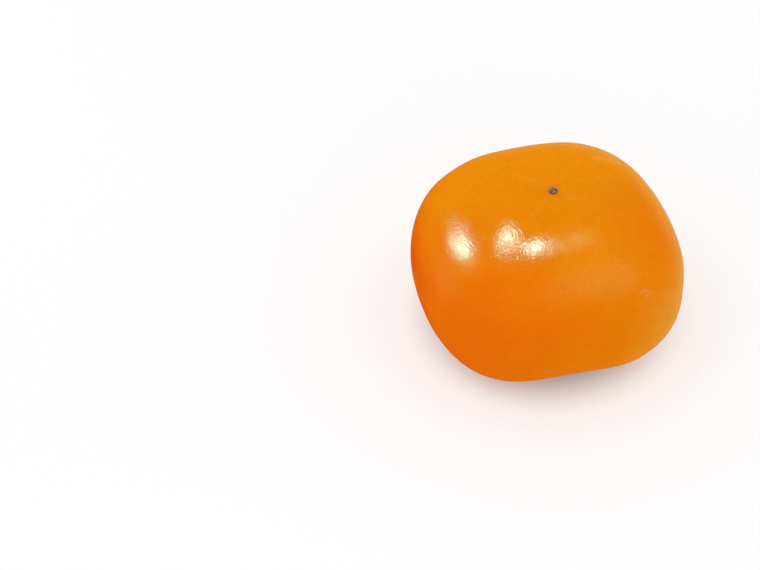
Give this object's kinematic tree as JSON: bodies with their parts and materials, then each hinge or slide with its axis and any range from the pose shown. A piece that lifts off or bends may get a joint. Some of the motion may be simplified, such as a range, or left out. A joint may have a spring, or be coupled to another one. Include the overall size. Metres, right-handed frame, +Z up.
{
  "type": "persimmon",
  "caption": "Whole flat, four-cornered persimmon standing blossom end up, with its leafy calyx and clipped stem stub underneath and a dried style on top.",
  "frame": {"origin": "on the surface that the fruit stands on, under the middle of its box", "axes": "+Z up, from the stem end to the blossom end; +X along the fruit's widest direction; -Y is the side that faces the camera"},
  "size_m": [0.0838, 0.08, 0.0553],
  "materials": {
    "skin": "smooth waxy orange skin, mottled, with paler lines along the corners",
    "calyx": "dry leathery leaf, grey-green going brown at the margin",
    "stem": "rough woody stalk with a paler cut end",
    "style": "dull, dried and nearly black"
  },
  "bodies": {
    "root": {"fruit": "skin", "calyx": "calyx", "stem_stub": "stem", "style_remnant": "style"}
  },
  "joints": []
}
